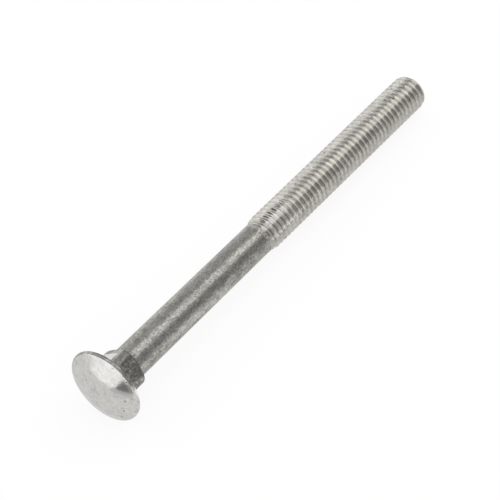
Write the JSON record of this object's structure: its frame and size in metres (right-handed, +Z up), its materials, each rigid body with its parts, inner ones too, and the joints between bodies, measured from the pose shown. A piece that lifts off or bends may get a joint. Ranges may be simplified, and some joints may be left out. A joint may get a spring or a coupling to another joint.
{
  "type": "carriage bolt",
  "caption": "Zinc-plated carriage bolt with a low domed head, a square neck, a plain shank and a long coarse thread, lying on its side.",
  "frame": {"origin": "centre of the head's bearing face, where the bolt's axis leaves the head", "axes": "+X runs along the lying bolt from the head towards the end of the thread, +Y is level across it, and +Z is up from the surface it lies on; the bolt's own axis dips 2.3 degrees below +X because it rests on its head's rim and its thread"},
  "size_m": [0.0811, 0.0122, 0.0122],
  "materials": {
    "zinc_plated_steel": "dull bright zinc plate over forged steel, finely mottled, with grey blotches and small dark pits"
  },
  "bodies": {
    "root": {"bolt": "zinc_plated_steel"}
  },
  "joints": []
}
